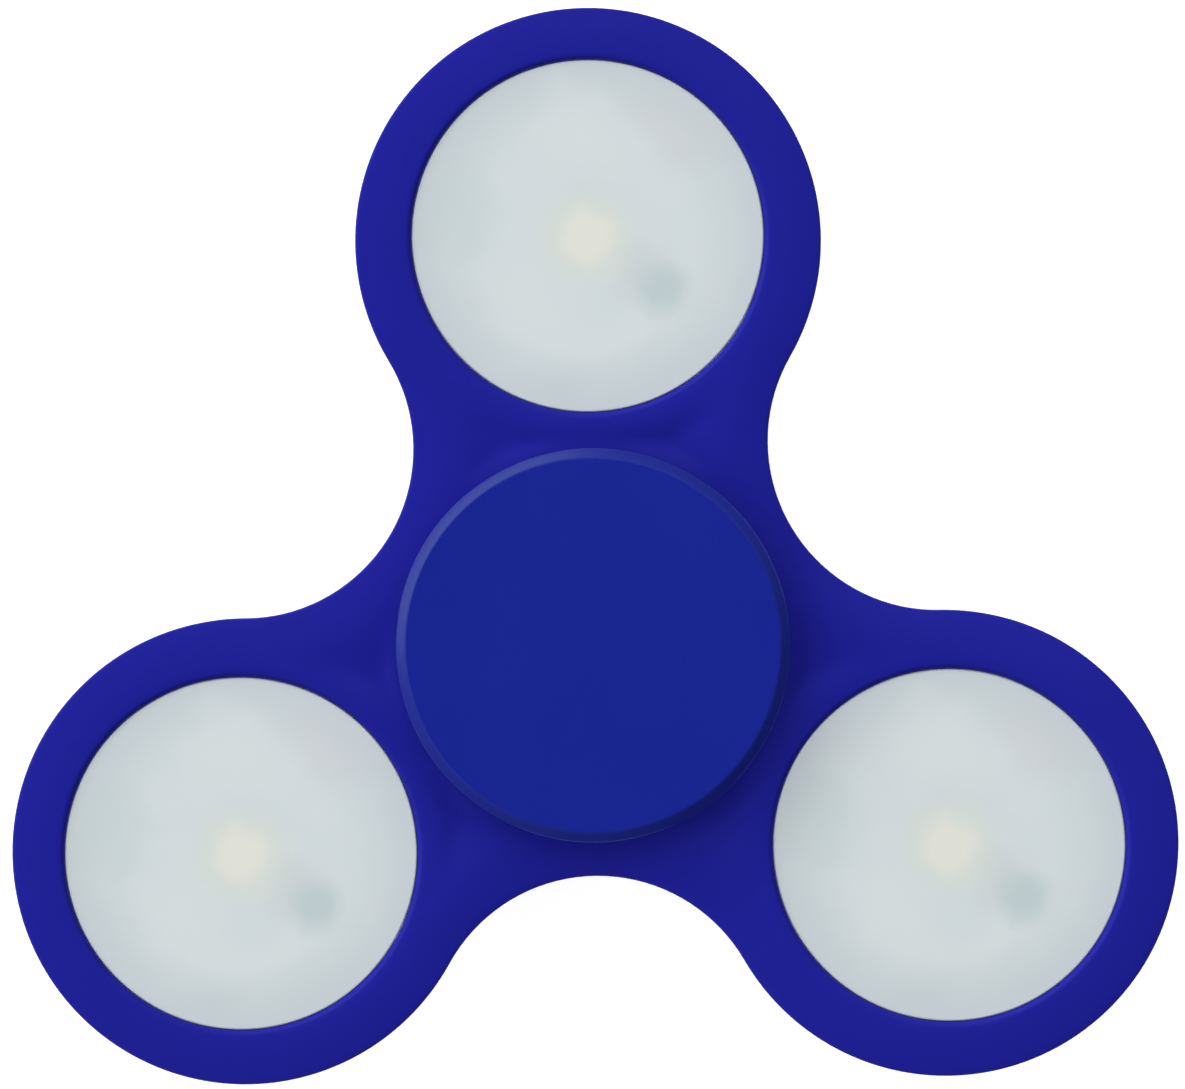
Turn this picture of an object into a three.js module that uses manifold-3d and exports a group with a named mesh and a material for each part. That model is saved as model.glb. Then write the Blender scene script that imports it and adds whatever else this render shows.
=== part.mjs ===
// Light-up fidget spinner: a three-lobed body that turns on a ball bearing between two finger caps,
// with a battery light pod in each lobe. Millimetres, +Z up.
// The origin is the centre of the rear cap's outer face. The front cap's outer face looks along +Z,
// and the first lobe points along +Y.
import * as THREE from "three";
import { mergeVertices } from "three/addons/utils/BufferGeometryUtils.js";
import Module from "manifold-3d";

const wasm = await Module();
wasm.setup();

// ---- Driving dimensions ----

const lobeCount = 3;
const lobeDistance = 25.9; // hub axis to the centre of a lobe's outer edge
const lobeRadius = 14.93; // outer edge of a lobe
const podDistance = 26.2; // hub axis to pod axis
const neckRadius = 10.84; // hollow arc between two lobes
const overallHeight = 13; // outer face to outer face of the two caps

const frameBottom = 2.8;
const frameTop = 10.2;
const frameEdge = 0.5; // rounding along the outline, front and rear
const bearingSeatRadius = 11.05;
const podHoleRadius = 11.3;
const podCounterboreRadius = 12.1;
const podCounterboreTop = 3.9;

// 608 ball bearing
const bearingBottom = 3;
const bearingWidth = 7;
const bearingRadius = 11;
const bearingBore = 4;
const ballCount = 7;
const ballRadius = 1.9845;
const ballPitchRadius = 7.5;
const grooveRadius = 2.1;
const outerLandRadius = 8.95;
const innerLandRadius = 6.05;
const shieldSeatRadius = 9.6;
const shieldSeatDepth = 0.6;
const shieldThickness = 0.25;
const bearingMiddle = bearingBottom + bearingWidth / 2;

// finger caps
const capRadius = 12.6;
const capThickness = 2.4;
const capEdge = 0.6; // chamfer round the outer face
const capShoulderRadius = 5.6;
const capStemRadius = 3.9;
const capStemHollow = 2.4;

// light pods; heights are in the spinner's frame
const lensRadius = 11.2;
const lensTop = 9.9;
const lensBottom = 3.95;
const lensFaceThickness = 1.05;
const lensBoreRadius = 10.15;
const boardLedgeRadius = 9.5;
const boardLedge = 7.65;
const coverBottom = 1.4;
const coverFlangeRadius = 11.95;
const coverFlangeTop = 3.85;
const coverFloor = 2.75;
const spigotRadius = 10.05;
const spigotBore = 9.45;
const spigotTop = 4.5;
const buttonHoleRadius = 3.35;
const buttonRecessRadius = 4.6;
const buttonRecess = 2.2;
const buttonRadius = 3.2;
const buttonFace = 0.8;
const buttonTop = 6.3;
const boardRadius = 10;
const boardBottom = 6.8;
const boardTop = 7.6;
const cellCount = 3;
const cellRadius = 3.95; // LR41 button cell
const cellHeight = 3.6;
const cellBottom = 3.05;
const cellPitchRadius = 5.3;
const gap = 0.05; // between pieces that rest on each other

// facets round a full circle
const largeFacets = 36;
const podFacets = 30;
const smallFacets = 16;
const tinyFacets = 12;

// ---- Geometry helpers ----

// A turned shape about Z. The profile is a list of [radius, z], anticlockwise with radius to the right.
function turned(profile, facets) {
  const points = profile.map(([radius, z]) => new THREE.Vector2(radius, z));
  return new THREE.LatheGeometry(points, facets).rotateX(Math.PI / 2);
}

// A turned ring, whose profile closes on itself.
function turnedRing(profile, facets) {
  return turned([...profile, profile[0]], facets);
}

// A plain disc or pin, standing on the height bottom.
function disc(radius, bottom, top, facets) {
  return turned([[0, bottom], [radius, bottom], [radius, top], [0, top]], facets);
}

// Points of an arc in the profile plane, with angles in degrees from the radius direction.
function arc(centreRadius, centreZ, radius, fromDegrees, toDegrees, steps) {
  const points = [];
  for (let i = 0; i <= steps; i++) {
    const angle = THREE.MathUtils.degToRad(fromDegrees + ((toDegrees - fromDegrees) * i) / steps);
    points.push([centreRadius + radius * Math.cos(angle), centreZ + radius * Math.sin(angle)]);
  }
  return points;
}

function toSolid(geometry) {
  const bare = geometry.clone();
  bare.deleteAttribute("normal");
  bare.deleteAttribute("uv");
  const merged = mergeVertices(bare, 1e-4);
  const mesh = new wasm.Mesh({
    numProp: 3,
    vertProperties: new Float32Array(merged.attributes.position.array),
    triVerts: new Uint32Array(merged.index.array),
  });
  return new wasm.Manifold(mesh);
}

function toGeometry(solid) {
  const mesh = solid.getMesh();
  const geometry = new THREE.BufferGeometry();
  geometry.setAttribute("position", new THREE.BufferAttribute(mesh.vertProperties, 3));
  geometry.setIndex(new THREE.BufferAttribute(mesh.triVerts, 1));
  geometry.computeVertexNormals();
  return geometry;
}

// Places count copies of a thing evenly round Z, from the angle start, in degrees.
function around(count, radius, start) {
  const places = [];
  for (let i = 0; i < count; i++) {
    const angle = THREE.MathUtils.degToRad(start + (360 * i) / count);
    places.push({ x: radius * Math.cos(angle), y: radius * Math.sin(angle) });
  }
  return places;
}

function piece(name, geometry, { color, roughness, metalness = 0 }) {
  const mesh = new THREE.Mesh(
    geometry,
    new THREE.MeshStandardMaterial({ color, roughness, metalness }),
  );
  mesh.name = name;
  return mesh;
}

const bluePlastic = { color: 0x222494, roughness: 0.3 };
const capPlastic = { color: 0x1a2790, roughness: 0.35 };
const frostedPlastic = { color: 0xccd5d7, roughness: 0.5 };
const whitePlastic = { color: 0xe3e6e6, roughness: 0.45 };
const bearingSteel = { color: 0xb9bdc2, roughness: 0.2, metalness: 1 };
const pressedSteel = { color: 0xa8acb0, roughness: 0.35, metalness: 1 };
const boardLaminate = { color: 0xdfe6e2, roughness: 0.6 };
const chipEpoxy = { color: 0x1d2a2c, roughness: 0.5 };
const ledLens = { color: 0xf2e6b4, roughness: 0.25 };

// ---- Frame: one moulding with a bearing seat and three pod holes ----

const lobes = around(lobeCount, lobeDistance, 90);
const podPlaces = around(lobeCount, podDistance, 90);

function outlineShape() {
  const reach = lobeRadius + neckRadius;
  const neckDistance =
    (lobeDistance + Math.sqrt(lobeDistance ** 2 - 4 * (lobeDistance ** 2 - reach ** 2))) / 2;
  const necks = around(lobeCount, neckDistance, 90 + 180 / lobeCount);
  const bearingOf = (from, to) => Math.atan2(to.y - from.y, to.x - from.x);
  const shape = new THREE.Shape();
  lobes.forEach((lobe, i) => {
    const before = necks[(i + lobeCount - 1) % lobeCount];
    const after = necks[i];
    const next = lobes[(i + 1) % lobeCount];
    shape.absarc(lobe.x, lobe.y, lobeRadius, bearingOf(lobe, before), bearingOf(lobe, after), false);
    shape.absarc(after.x, after.y, neckRadius, bearingOf(after, lobe), bearingOf(after, next), true);
  });
  return shape;
}

function frameGeometry() {
  const blank = new THREE.ExtrudeGeometry(outlineShape(), {
    depth: frameTop - frameBottom - 2 * frameEdge,
    bevelThickness: frameEdge,
    bevelSize: frameEdge,
    bevelOffset: -frameEdge,
    bevelSegments: 2,
    curveSegments: 8,
  }).translate(0, 0, frameBottom + frameEdge);
  const past = 1;
  const seatLip = 0.35;
  let frame = toSolid(blank).subtract(
    toSolid(
      turned(
        [
          [0, frameBottom - past],
          [bearingSeatRadius + seatLip + past, frameBottom - past],
          [bearingSeatRadius, frameBottom + seatLip],
          [bearingSeatRadius, frameTop - seatLip],
          [bearingSeatRadius + seatLip + past, frameTop + past],
          [0, frameTop + past],
        ],
        largeFacets,
      ),
    ),
  );
  const podHole = turned(
    [
      [0, frameBottom - past],
      [podCounterboreRadius, frameBottom - past],
      [podCounterboreRadius, podCounterboreTop],
      [podHoleRadius, podCounterboreTop],
      [podHoleRadius, frameTop + past],
      [0, frameTop + past],
    ],
    largeFacets,
  );
  for (const place of podPlaces) {
    frame = frame.subtract(toSolid(podHole.clone().translate(place.x, place.y, 0)));
  }
  return toGeometry(frame);
}

// ---- Bearing ----

const grooveSteps = 5;

// Half the angle, in degrees, that a ball groove takes out of a ring whose land is this far off the pitch.
function grooveHalfAngle(landOffset) {
  return THREE.MathUtils.radToDeg(Math.acos(landOffset / grooveRadius));
}

function outerRingGeometry() {
  const top = bearingBottom + bearingWidth;
  const half = grooveHalfAngle(outerLandRadius - ballPitchRadius);
  return turnedRing(
    [
      [bearingRadius, bearingBottom],
      [bearingRadius, top],
      [shieldSeatRadius, top],
      [shieldSeatRadius, top - shieldSeatDepth],
      [outerLandRadius, top - shieldSeatDepth],
      ...arc(ballPitchRadius, bearingMiddle, grooveRadius, half, -half, grooveSteps),
      [outerLandRadius, bearingBottom + shieldSeatDepth],
      [shieldSeatRadius, bearingBottom + shieldSeatDepth],
      [shieldSeatRadius, bearingBottom],
    ],
    largeFacets,
  );
}

function innerRingGeometry() {
  const top = bearingBottom + bearingWidth;
  const half = grooveHalfAngle(ballPitchRadius - innerLandRadius);
  return turnedRing(
    [
      [bearingBore, bearingBottom],
      [innerLandRadius, bearingBottom],
      ...arc(ballPitchRadius, bearingMiddle, grooveRadius, 180 + half, 180 - half, grooveSteps),
      [innerLandRadius, top],
      [bearingBore, top],
    ],
    largeFacets,
  );
}

const balls = around(ballCount, ballPitchRadius, 90);

// A crown cage: a ring above the balls with open pockets that reach down round each one.
function cageGeometry() {
  const pocketRadius = 2.15;
  const width = 1.8;
  const bottom = bearingMiddle - 1.1;
  const top = bearingMiddle + 2.7;
  let cage = toSolid(
    turnedRing(
      [
        [ballPitchRadius - width / 2, bottom],
        [ballPitchRadius + width / 2, bottom],
        [ballPitchRadius + width / 2, top],
        [ballPitchRadius - width / 2, top],
      ],
      largeFacets,
    ),
  );
  const pocket = new THREE.SphereGeometry(pocketRadius, tinyFacets, 8);
  for (const ball of balls) {
    cage = cage.subtract(toSolid(pocket.clone().translate(ball.x, ball.y, bearingMiddle)));
  }
  return toGeometry(cage);
}

function shieldGeometry(bottom) {
  const clearOfInnerRing = 0.15;
  const clearOfSeat = 0.1;
  return turnedRing(
    [
      [innerLandRadius + clearOfInnerRing, bottom],
      [shieldSeatRadius - clearOfSeat, bottom],
      [shieldSeatRadius - clearOfSeat, bottom + shieldThickness],
      [innerLandRadius + clearOfInnerRing, bottom + shieldThickness],
    ],
    largeFacets,
  );
}

// ---- Finger caps: a disc, a shoulder that bears on the inner ring, and a hollow stem in its bore ----

// The outer face is at zero and the stem points along +Z.
function capGeometry() {
  const shoulder = bearingBottom;
  const stemEnd = bearingMiddle - 2 * gap;
  const hollowEnd = 1.8;
  return turned(
    [
      [0, 0],
      [capRadius - capEdge, 0],
      [capRadius, capEdge],
      [capRadius, capThickness],
      [capShoulderRadius, capThickness],
      [capShoulderRadius, shoulder],
      [capStemRadius, shoulder],
      [capStemRadius, stemEnd],
      [capStemHollow, stemEnd],
      [capStemHollow, hollowEnd],
      [0, hollowEnd],
    ],
    largeFacets,
  );
}

// ---- Light pod pieces, each drawn about the pod's own axis ----

function lensGeometry() {
  const inside = lensTop - lensFaceThickness;
  const edge = 0.25;
  return turned(
    [
      [0, inside],
      [boardLedgeRadius, inside],
      [boardLedgeRadius, boardLedge],
      [lensBoreRadius, boardLedge],
      [lensBoreRadius, lensBottom],
      [lensRadius, lensBottom],
      [lensRadius, lensTop - edge],
      [lensRadius - edge, lensTop],
      [0, lensTop],
    ],
    podFacets,
  );
}

// The cover has three posts between the cells, which press the board against its ledge.
function coverGeometry() {
  const edge = 0.5;
  const ring = turnedRing(
    [
      [buttonHoleRadius, coverBottom],
      [coverFlangeRadius - edge, coverBottom],
      [coverFlangeRadius, coverBottom + edge],
      [coverFlangeRadius, coverFlangeTop],
      [spigotRadius, coverFlangeTop],
      [spigotRadius, spigotTop],
      [spigotBore, spigotTop],
      [spigotBore, coverFloor],
      [buttonRecessRadius, coverFloor],
      [buttonRecessRadius, buttonRecess],
      [buttonHoleRadius, buttonRecess],
    ],
    podFacets,
  );
  const postRadius = 2.5;
  const postPitchRadius = 8.2;
  const postTop = boardBottom - 2 * gap;
  const within = toSolid(disc((spigotRadius + spigotBore) / 2, 0, overallHeight, podFacets));
  const post = disc(postRadius, coverFloor - 4 * gap, postTop, tinyFacets);
  let cover = toSolid(ring);
  for (const place of around(cellCount, postPitchRadius, 90 + 180 / cellCount)) {
    cover = cover.add(toSolid(post.clone().translate(place.x, place.y, 0)).intersect(within));
  }
  return toGeometry(cover);
}

// The flange under the cover keeps the button in, and the stem runs between the cells to the switch.
function buttonGeometry() {
  const edge = 0.3;
  const flangeRadius = 4.3;
  const flangeBottom = buttonRecess + gap;
  const flangeTop = flangeBottom + 0.4;
  const stemRadius = 0.95;
  return turned(
    [
      [0, buttonFace],
      [buttonRadius - edge, buttonFace],
      [buttonRadius, buttonFace + edge],
      [buttonRadius, flangeBottom],
      [flangeRadius, flangeBottom],
      [flangeRadius, flangeTop],
      [stemRadius, flangeTop],
      [stemRadius, buttonTop],
      [0, buttonTop],
    ],
    smallFacets,
  );
}

// A snap dome under the board, which the stem squashes.
function switchDomeGeometry() {
  const radius = 1.25;
  const crownRadius = 0.8;
  const top = boardBottom - gap / 2;
  const bottom = buttonTop + gap / 2;
  return turned(
    [[0, bottom], [crownRadius, bottom], [radius, top], [0, top]],
    tinyFacets,
  );
}

// A ring under the cells with a pad for each one.
function contactPlateGeometry() {
  const bottom = coverFloor + gap;
  const top = cellBottom - gap;
  const ringBore = 4.75;
  const ringRadius = 5.4;
  const padRadius = 3.3;
  let plate = toSolid(disc(ringRadius, bottom, top, podFacets));
  for (const place of around(cellCount, cellPitchRadius, 90)) {
    plate = plate.add(
      toSolid(disc(padRadius, bottom, top, smallFacets).translate(place.x, place.y, 0)),
    );
  }
  return toGeometry(plate.subtract(toSolid(disc(ringBore, 0, overallHeight, podFacets))));
}

// The can is the positive pole, and the smaller step on top is the negative one.
function cellGeometry() {
  const step = 0.4;
  const inset = 0.7;
  const top = cellBottom + cellHeight;
  return turned(
    [
      [0, cellBottom],
      [cellRadius, cellBottom],
      [cellRadius, top - step],
      [cellRadius - inset, top],
      [0, top],
    ],
    smallFacets,
  );
}

function ledGeometry() {
  const radius = 1.8;
  const bottom = boardTop + gap;
  const rim = 0.3;
  const domeHeight = 0.7;
  const dome = arc(0, 0, 1, 0, 90, 3).map(([r, z]) => [
    radius * r,
    bottom + rim + domeHeight * z,
  ]);
  dome[dome.length - 1][0] = 0;
  return turned([[0, bottom], [radius, bottom], ...dome], tinyFacets);
}

// A drop of black resin over the flasher chip.
function chipGeometry() {
  const radius = 1.6;
  const height = 0.9;
  const bottom = boardTop + gap;
  const drop = arc(0, 0, 1, 0, 90, 3).map(([r, z]) => [radius * r, bottom + height * z]);
  drop[drop.length - 1][0] = 0;
  return turned([[0, bottom], ...drop], tinyFacets);
}

// ---- Assembly ----

const group = new THREE.Group();

const hub = new THREE.Group();
const frontCap = piece("front_cap", capGeometry(), capPlastic);
frontCap.rotation.x = Math.PI;
frontCap.position.z = overallHeight;
hub.add(
  frontCap,
  piece("rear_cap", capGeometry(), capPlastic),
  piece("bearing_inner_ring", innerRingGeometry(), bearingSteel),
);
group.add(hub);

const shieldInset = 0.25;
const bearingTop = bearingBottom + bearingWidth;
group.add(
  piece("spinner_frame", frameGeometry(), bluePlastic),
  piece("bearing_outer_ring", outerRingGeometry(), bearingSteel),
  piece("bearing_rear_shield", shieldGeometry(bearingBottom + shieldInset), pressedSteel),
  piece(
    "bearing_front_shield",
    shieldGeometry(bearingTop - shieldInset - shieldThickness),
    pressedSteel,
  ),
  piece("bearing_cage", cageGeometry(), pressedSteel),
);

balls.forEach((place, i) => {
  const ball = piece(
    `bearing_ball_${i + 1}`,
    new THREE.SphereGeometry(ballRadius, tinyFacets, 6),
    bearingSteel,
  );
  ball.position.set(place.x, place.y, bearingMiddle);
  group.add(ball);
});

const chipOffset = { x: 4.7, y: -3.5 };
podPlaces.forEach((podPlace, i) => {
  const pod = new THREE.Group();
  const name = `pod_${i + 1}`;
  pod.position.set(podPlace.x, podPlace.y, 0);
  pod.add(
    piece(`${name}_lens`, lensGeometry(), frostedPlastic),
    piece(`${name}_rear_cover`, coverGeometry(), whitePlastic),
    piece(`${name}_button`, buttonGeometry(), bluePlastic),
    piece(`${name}_switch_dome`, switchDomeGeometry(), pressedSteel),
    piece(
      `${name}_circuit_board`,
      disc(boardRadius, boardBottom, boardTop, podFacets),
      boardLaminate,
    ),
    piece(`${name}_led`, ledGeometry(), ledLens),
    piece(`${name}_contact_plate`, contactPlateGeometry(), pressedSteel),
  );
  const chip = piece(`${name}_chip`, chipGeometry(), chipEpoxy);
  chip.position.set(chipOffset.x, chipOffset.y, 0);
  pod.add(chip);
  around(cellCount, cellPitchRadius, 90).forEach((place, k) => {
    const cell = piece(`${name}_cell_${k + 1}`, cellGeometry(), bearingSteel);
    cell.position.set(place.x, place.y, 0);
    pod.add(cell);
  });
  group.add(pod);
});

export default group;
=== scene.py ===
# Looks of the light-up fidget spinner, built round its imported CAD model. Metres, +Z up.
# The turned profiles and the bearing's sizes are written in millimetres.

import math

import bmesh
import bpy
from mathutils import Matrix, Vector
from mathutils.geometry import delaunay_2d_cdt


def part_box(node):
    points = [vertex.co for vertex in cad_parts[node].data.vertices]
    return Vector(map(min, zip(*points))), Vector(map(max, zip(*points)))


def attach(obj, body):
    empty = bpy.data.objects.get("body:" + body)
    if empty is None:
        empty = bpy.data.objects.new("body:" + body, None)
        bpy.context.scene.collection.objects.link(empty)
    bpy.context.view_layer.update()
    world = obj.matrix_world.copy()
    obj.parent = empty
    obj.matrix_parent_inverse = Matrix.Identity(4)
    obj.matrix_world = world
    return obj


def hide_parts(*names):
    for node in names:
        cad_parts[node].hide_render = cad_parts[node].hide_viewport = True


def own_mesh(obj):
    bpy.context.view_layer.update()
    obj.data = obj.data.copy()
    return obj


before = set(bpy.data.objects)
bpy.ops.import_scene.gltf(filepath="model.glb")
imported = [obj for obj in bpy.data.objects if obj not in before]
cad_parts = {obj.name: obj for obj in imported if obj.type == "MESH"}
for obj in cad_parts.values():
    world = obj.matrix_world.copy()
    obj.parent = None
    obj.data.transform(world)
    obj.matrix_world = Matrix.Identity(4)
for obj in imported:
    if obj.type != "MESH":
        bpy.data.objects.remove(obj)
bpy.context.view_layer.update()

MM = 0.001
LOBES = 3
CELLS = 3
LOBE_START = math.radians(90)
ON_AXIS = 1e-7


# ---- Places and sizes, read from the CAD model ----

def centre_of(node):
    low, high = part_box(node)
    return (low + high) / 2


def radius_of(node):
    """Half a node's width along Y, where its facets reach the full radius."""
    low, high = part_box(node)
    return (high.y - low.y) / 2


FRAME_LOW, FRAME_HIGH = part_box("spinner_frame")
CAP_RADIUS = radius_of("front_cap")
OVERALL_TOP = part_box("front_cap")[1].z
POD_CENTRES = [centre_of(f"pod_{n + 1}_rear_cover") for n in range(LOBES)]
LENS_RADIUS = radius_of("pod_1_lens")
LENS_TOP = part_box("pod_1_lens")[1].z
CHIP_OFFSET = centre_of("pod_1_chip") - centre_of("pod_1_led")

LOBE_RADIUS = 14.93 * MM
NECK_RADIUS = 10.84 * MM
LOBE_DISTANCE = FRAME_HIGH.y - LOBE_RADIUS
REACH = LOBE_RADIUS + NECK_RADIUS
NECK_DISTANCE = (LOBE_DISTANCE + math.sqrt(LOBE_DISTANCE**2 - 4 * (LOBE_DISTANCE**2 - REACH**2))) / 2


def around(count, radius, start):
    """Points evenly round the hub axis, anticlockwise from the angle start."""
    angles = [start + math.tau * i / count for i in range(count)]
    return [Vector((radius * math.cos(a), radius * math.sin(a))) for a in angles]


LOBE_CENTRES = around(LOBES, LOBE_DISTANCE, LOBE_START)
NECK_CENTRES = around(LOBES, NECK_DISTANCE, LOBE_START + math.pi / LOBES)


# ---- Mesh helpers ----

def new_object(name, mesh, centre=(0, 0, 0)):
    obj = bpy.data.objects.new(name, mesh)
    obj.location = centre
    bpy.context.scene.collection.objects.link(obj)
    return obj


def finish_mesh(obj, sharp_degrees=40):
    """Smooth shading that keeps flat faces flat and true corners sharp."""
    mesh = obj.data
    mesh.shade_smooth()
    mesh.set_sharp_from_angle(angle=math.radians(sharp_degrees))
    weighted = obj.modifiers.new("weighted_normals", "WEIGHTED_NORMAL")
    weighted.keep_sharp = True
    return obj


def dress(obj, material, body, slot, *nodes):
    """Gives a piece its material, hangs it on the body that it rides on, and hides the CAD nodes that
    it stands for.
    """
    obj.data.materials.clear()
    obj.data.materials.append(material)
    if nodes:
        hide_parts(*nodes)
    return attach(obj, body)


def mesh_from(work, name):
    mesh = bpy.data.meshes.new(name)
    work.to_mesh(mesh)
    work.free()
    return mesh


def fillet(before, corner, after, radius, step=math.radians(15)):
    """Points of the arc that rounds a corner of a profile."""
    to_before = before - corner
    to_after = after - corner
    half = to_before.angle(to_after) / 2
    reach = radius / math.tan(half)
    limit = 0.49 * min(to_before.length, to_after.length)
    if reach > limit:
        reach = limit
        radius = reach * math.tan(half)
    start = corner + to_before.normalized() * reach
    end = corner + to_after.normalized() * reach
    bisector = (to_before.normalized() + to_after.normalized()).normalized()
    middle = corner + bisector * (radius / math.sin(half))
    sweep = math.pi - 2 * half
    count = max(2, math.ceil(sweep / step))
    points = []
    for i in range(count + 1):
        t = i / count
        spoke = (start - middle) * math.sin((1 - t) * sweep) + (end - middle) * math.sin(t * sweep)
        points.append(middle + spoke / math.sin(sweep))
    return points


def profile_points(corners, closed):
    """A profile of (radius, z) or (radius, z, fillet) corners, in millimetres, as points in metres."""
    spots = [Vector((c[0], c[1])) * MM for c in corners]
    rounds = [(c[2] if len(c) > 2 else 0) * MM for c in corners]
    points = []
    for i, (spot, radius) in enumerate(zip(spots, rounds)):
        inside = closed or 0 < i < len(spots) - 1
        if radius and inside:
            points += fillet(spots[i - 1], spot, spots[(i + 1) % len(spots)], radius)
        else:
            points.append(spot)
    return points


def turned(name, corners, centre=(0, 0), closed=False, segments=144):
    """A turned piece about a vertical axis. An open profile starts and ends on the axis."""
    angles = [math.tau * i / segments for i in range(segments)]
    work = bmesh.new()
    rings = []
    for radius, height in profile_points(corners, closed):
        if radius < ON_AXIS:
            rings.append([work.verts.new((0, 0, height))])
            continue
        ring = [(radius * math.cos(a), radius * math.sin(a), height) for a in angles]
        rings.append([work.verts.new(place) for place in ring])
    pairs = list(zip(rings, rings[1:]))
    if closed:
        pairs.append((rings[-1], rings[0]))
    for low, high in pairs:
        for i in range(segments):
            j = (i + 1) % segments
            if len(low) == 1:
                work.faces.new((low[0], high[j], high[i]))
            elif len(high) == 1:
                work.faces.new((low[i], low[j], high[0]))
            else:
                work.faces.new((low[i], low[j], high[j], high[i]))
    bmesh.ops.recalc_face_normals(work, faces=work.faces)
    return finish_mesh(new_object(name, mesh_from(work, name), (centre[0], centre[1], 0)))


# ---- Materials ----

RANGE_INPUTS = ("From Min", "From Max", "To Min", "To Max")


class Nodes:
    """A short way to write a material's node tree."""

    def __init__(self, name):
        self.material = bpy.data.materials.new(name)
        self.material.use_nodes = True
        self.tree = self.material.node_tree
        self.shader = self.tree.nodes["Principled BSDF"]
        self.place = self.add("ShaderNodeTexCoord").outputs["Object"]

    def add(self, kind, **settings):
        node = self.tree.nodes.new(kind)
        for key, value in settings.items():
            setattr(node, key, value)
        return node

    def link(self, source, target):
        self.tree.links.new(source, target)

    def noise(self, scale, detail, vector=None):
        node = self.add("ShaderNodeTexNoise")
        node.inputs["Scale"].default_value = scale
        node.inputs["Detail"].default_value = detail
        self.link(vector or self.place, node.inputs["Vector"])
        return node.outputs["Fac"]

    def spread(self, value, low, high, to_low, to_high, smooth=False):
        """Maps the range from low to high onto another one, and holds its ends outside it."""
        node = self.add("ShaderNodeMapRange")
        if smooth:
            node.interpolation_type = "SMOOTHSTEP"
        for key, number in zip(RANGE_INPUTS, (low, high, to_low, to_high)):
            node.inputs[key].default_value = number
        self.link(value, node.inputs["Value"])
        return node.outputs["Result"]

    def mix(self, share, first, second):
        """Mixes two colours, each a socket or a tuple, by a share from 0 to 1."""
        node = self.add("ShaderNodeMix", data_type="RGBA")
        self.link(share, node.inputs[0])
        for socket, colour in ((node.inputs[6], first), (node.inputs[7], second)):
            if isinstance(colour, tuple):
                socket.default_value = (*colour, 1)
            else:
                self.link(colour, socket)
        return node.outputs[2]

    def bump(self, height, distance):
        node = self.add("ShaderNodeBump")
        node.inputs["Distance"].default_value = distance
        node.inputs["Strength"].default_value = 1
        self.link(height, node.inputs["Height"])
        return node.outputs["Normal"]

    def warped(self, scale, amount):
        """The place, pushed about by noise, for shapes with ragged edges."""
        node = self.add("ShaderNodeTexNoise")
        node.inputs["Scale"].default_value = scale
        self.link(self.place, node.inputs["Vector"])
        push = self.add("ShaderNodeVectorMath", operation="MULTIPLY_ADD")
        push.inputs[1].default_value = (2 * amount, 2 * amount, 0)
        push.inputs[2].default_value = (-amount, -amount, 0)
        total = self.add("ShaderNodeVectorMath", operation="ADD")
        self.link(node.outputs["Color"], push.inputs[0])
        self.link(self.place, total.inputs[0])
        self.link(push.outputs[0], total.inputs[1])
        return total.outputs[0]

    def radius(self, centre=(0, 0), place=None):
        """Distance from a vertical axis."""
        shift = self.add("ShaderNodeVectorMath", operation="SUBTRACT")
        shift.inputs[1].default_value = (centre[0], centre[1], 0)
        flat = self.add("ShaderNodeVectorMath", operation="MULTIPLY")
        flat.inputs[1].default_value = (1, 1, 0)
        length = self.add("ShaderNodeVectorMath", operation="LENGTH")
        self.link(place or self.place, shift.inputs[0])
        self.link(shift.outputs[0], flat.inputs[0])
        self.link(flat.outputs[0], length.inputs[0])
        return length.outputs["Value"]

    def socket(self, key):
        return self.shader.inputs[key.replace("_", " ").title().replace("Ior", "IOR")]

    def set(self, **values):
        """Gives inputs of the shader one value each."""
        for key, value in values.items():
            self.socket(key).default_value = value

    def feed(self, **sources):
        """Links sources to inputs of the shader."""
        for key, source in sources.items():
            self.link(source, self.socket(key))


RIM_BLEND = 0.3 * MM


def moulded_plastic(name, colour, roughness, specular, tint=(1, 1, 1), peel=0.006 * MM, rim=None):
    """Injection-moulded plastic: faint flow variation in colour, and a fine orange-peel surface.

    A rim is polished more than the face inside it, and its colour is darkened there as painted shade
    for the bevel.
    It's given as its inner radius, the share of the colour that it keeps, and its specular level.
    """
    nodes = Nodes(name)
    nodes.set(specular_ior_level=specular, specular_tint=(*tint, 1))
    darker = tuple(c * 0.975 for c in colour)
    lighter = tuple(min(1, c * 1.025) for c in colour)
    flow = nodes.spread(nodes.noise(60, 2), 0.3, 0.7, 0, 1)
    body = nodes.mix(flow, darker, lighter)
    if rim:
        start, share, gloss = rim
        outside = nodes.spread(nodes.radius(), start, start + RIM_BLEND, 0, 1, smooth=True)
        # painted shade: the rim keeps only a share of the colour, so the bevel reads darker
        body = nodes.mix(outside, body, tuple(c * share for c in colour))
        shine = nodes.spread(nodes.radius(), start, start + RIM_BLEND, specular, gloss, smooth=True)
        nodes.feed(specular_ior_level=shine)
    polish = nodes.spread(nodes.noise(130, 2), 0.3, 0.7, roughness - 0.02, roughness + 0.03)
    nodes.feed(base_color=body, roughness=polish, normal=nodes.bump(nodes.noise(260, 1), peel))
    return nodes.material


def turned_steel(name, colour, roughness, groove=0.0015 * MM):
    """Ground or pressed steel with fine rings left by turning."""
    nodes = Nodes(name)
    nodes.set(metallic=1.0)
    radius = nodes.radius()
    rings = nodes.add("ShaderNodeCombineXYZ")
    nodes.link(radius, rings.inputs["X"])
    height = nodes.noise(9000, 2, vector=rings.outputs[0])
    haze = nodes.noise(300, 4)
    darker = tuple(c * 0.86 for c in colour)
    shade = nodes.mix(nodes.spread(haze, 0.35, 0.7, 0, 1), colour, darker)
    polish = nodes.spread(height, 0.3, 0.7, roughness - 0.06, roughness + 0.08)
    nodes.feed(base_color=shade, roughness=polish, normal=nodes.bump(height, groove))
    return nodes.material


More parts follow.
